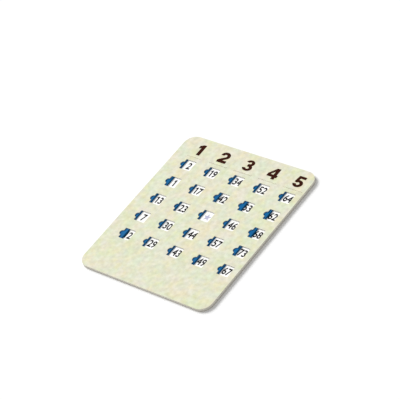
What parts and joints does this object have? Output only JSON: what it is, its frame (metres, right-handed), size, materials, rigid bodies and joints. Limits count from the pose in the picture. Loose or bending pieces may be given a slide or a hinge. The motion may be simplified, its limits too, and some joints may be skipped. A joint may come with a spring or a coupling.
{
  "type": "bingo card",
  "caption": "Flat laminated shutter bingo card: rows of die-cut windows with thumb notches, each with a tinted plastic shutter that a fingertip slides over the number behind it.",
  "frame": {"origin": "centre of the back face, on the surface that the card lies on", "axes": "+X along the rows of windows, the way a shutter slides to close; +Y towards the heading; +Z out of the face"},
  "size_m": [0.1858, 0.2098, 0.004],
  "materials": {
    "face_print": "satin mottled print",
    "board": "raw cut board",
    "number_paper": "smooth white",
    "backing": "raw cut board",
    "back_paper": "matte cream",
    "shutter_plastic": "tinted gloss"
  },
  "bodies": {
    "card": {"back_sheet": "back_paper", "backing_board": "backing", "number_sheet": "number_paper", "channel_board": "board", "face_board": "board", "face_sheet": "face_print"},
    "shutter_r1_c1": {"shutter_r1_c1": "shutter_plastic"},
    "shutter_r1_c2": {"shutter_r1_c2": "shutter_plastic"},
    "shutter_r1_c3": {"shutter_r1_c3": "shutter_plastic"},
    "shutter_r1_c4": {"shutter_r1_c4": "shutter_plastic"},
    "shutter_r1_c5": {"shutter_r1_c5": "shutter_plastic"},
    "shutter_r2_c1": {"shutter_r2_c1": "shutter_plastic"},
    "shutter_r2_c2": {"shutter_r2_c2": "shutter_plastic"},
    "shutter_r2_c3": {"shutter_r2_c3": "shutter_plastic"},
    "shutter_r2_c4": {"shutter_r2_c4": "shutter_plastic"},
    "shutter_r2_c5": {"shutter_r2_c5": "shutter_plastic"},
    "shutter_r3_c1": {"shutter_r3_c1": "shutter_plastic"},
    "shutter_r3_c2": {"shutter_r3_c2": "shutter_plastic"},
    "shutter_r3_c3": {"shutter_r3_c3": "shutter_plastic"},
    "shutter_r3_c4": {"shutter_r3_c4": "shutter_plastic"},
    "shutter_r3_c5": {"shutter_r3_c5": "shutter_plastic"},
    "shutter_r4_c1": {"shutter_r4_c1": "shutter_plastic"},
    "shutter_r4_c2": {"shutter_r4_c2": "shutter_plastic"},
    "shutter_r4_c3": {"shutter_r4_c3": "shutter_plastic"},
    "shutter_r4_c4": {"shutter_r4_c4": "shutter_plastic"},
    "shutter_r4_c5": {"shutter_r4_c5": "shutter_plastic"},
    "shutter_r5_c1": {"shutter_r5_c1": "shutter_plastic"},
    "shutter_r5_c2": {"shutter_r5_c2": "shutter_plastic"},
    "shutter_r5_c3": {"shutter_r5_c3": "shutter_plastic"},
    "shutter_r5_c4": {"shutter_r5_c4": "shutter_plastic"},
    "shutter_r5_c5": {"shutter_r5_c5": "shutter_plastic"}
  },
  "joints": [
    {"name": "slide_r1_c1", "type": "slide", "parent": "card", "child": "shutter_r1_c1", "axis": [1, 0, 0], "range_m": [0, 0.0131]},
    {"name": "slide_r1_c2", "type": "slide", "parent": "card", "child": "shutter_r1_c2", "axis": [1, 0, 0], "range_m": [0, 0.0131]},
    {"name": "slide_r1_c3", "type": "slide", "parent": "card", "child": "shutter_r1_c3", "axis": [1, 0, 0], "range_m": [-0.00039, 0.01271]},
    {"name": "slide_r1_c4", "type": "slide", "parent": "card", "child": "shutter_r1_c4", "axis": [1, 0, 0], "range_m": [0, 0.0131]},
    {"name": "slide_r1_c5", "type": "slide", "parent": "card", "child": "shutter_r1_c5", "axis": [1, 0, 0], "range_m": [0, 0.0131]},
    {"name": "slide_r2_c1", "type": "slide", "parent": "card", "child": "shutter_r2_c1", "axis": [1, 0, 0], "range_m": [-0.0021, 0.011]},
    {"name": "slide_r2_c2", "type": "slide", "parent": "card", "child": "shutter_r2_c2", "axis": [1, 0, 0], "range_m": [0, 0.0131]},
    {"name": "slide_r2_c3", "type": "slide", "parent": "card", "child": "shutter_r2_c3", "axis": [1, 0, 0], "range_m": [-0.00183, 0.01127]},
    {"name": "slide_r2_c4", "type": "slide", "parent": "card", "child": "shutter_r2_c4", "axis": [1, 0, 0], "range_m": [-0.00341, 0.00969]},
    {"name": "slide_r2_c5", "type": "slide", "parent": "card", "child": "shutter_r2_c5", "axis": [1, 0, 0], "range_m": [-0.0021, 0.011]},
    {"name": "slide_r3_c1", "type": "slide", "parent": "card", "child": "shutter_r3_c1", "axis": [1, 0, 0], "range_m": [-0.00065, 0.01244]},
    {"name": "slide_r3_c2", "type": "slide", "parent": "card", "child": "shutter_r3_c2", "axis": [1, 0, 0], "range_m": [0, 0.0131]},
    {"name": "slide_r3_c3", "type": "slide", "parent": "card", "child": "shutter_r3_c3", "axis": [1, 0, 0], "range_m": [0, 0.0131]},
    {"name": "slide_r3_c4", "type": "slide", "parent": "card", "child": "shutter_r3_c4", "axis": [1, 0, 0], "range_m": [0, 0.0131]},
    {"name": "slide_r3_c5", "type": "slide", "parent": "card", "child": "shutter_r3_c5", "axis": [1, 0, 0], "range_m": [-0.00262, 0.01048]},
    {"name": "slide_r4_c1", "type": "slide", "parent": "card", "child": "shutter_r4_c1", "axis": [1, 0, 0], "range_m": [0, 0.0131]},
    {"name": "slide_r4_c2", "type": "slide", "parent": "card", "child": "shutter_r4_c2", "axis": [1, 0, 0], "range_m": [0, 0.0131]},
    {"name": "slide_r4_c3", "type": "slide", "parent": "card", "child": "shutter_r4_c3", "axis": [1, 0, 0], "range_m": [0, 0.0131]},
    {"name": "slide_r4_c4", "type": "slide", "parent": "card", "child": "shutter_r4_c4", "axis": [1, 0, 0], "range_m": [0, 0.0131]},
    {"name": "slide_r4_c5", "type": "slide", "parent": "card", "child": "shutter_r4_c5", "axis": [1, 0, 0], "range_m": [-0.00157, 0.01153]},
    {"name": "slide_r5_c1", "type": "slide", "parent": "card", "child": "shutter_r5_c1", "axis": [1, 0, 0], "range_m": [-0.00393, 0.00917]},
    {"name": "slide_r5_c2", "type": "slide", "parent": "card", "child": "shutter_r5_c2", "axis": [1, 0, 0], "range_m": [0, 0.0131]},
    {"name": "slide_r5_c3", "type": "slide", "parent": "card", "child": "shutter_r5_c3", "axis": [1, 0, 0], "range_m": [0, 0.0131]},
    {"name": "slide_r5_c4", "type": "slide", "parent": "card", "child": "shutter_r5_c4", "axis": [1, 0, 0], "range_m": [-0.00131, 0.01179]},
    {"name": "slide_r5_c5", "type": "slide", "parent": "card", "child": "shutter_r5_c5", "axis": [1, 0, 0], "range_m": [-0.00065, 0.01244]}
  ]
}
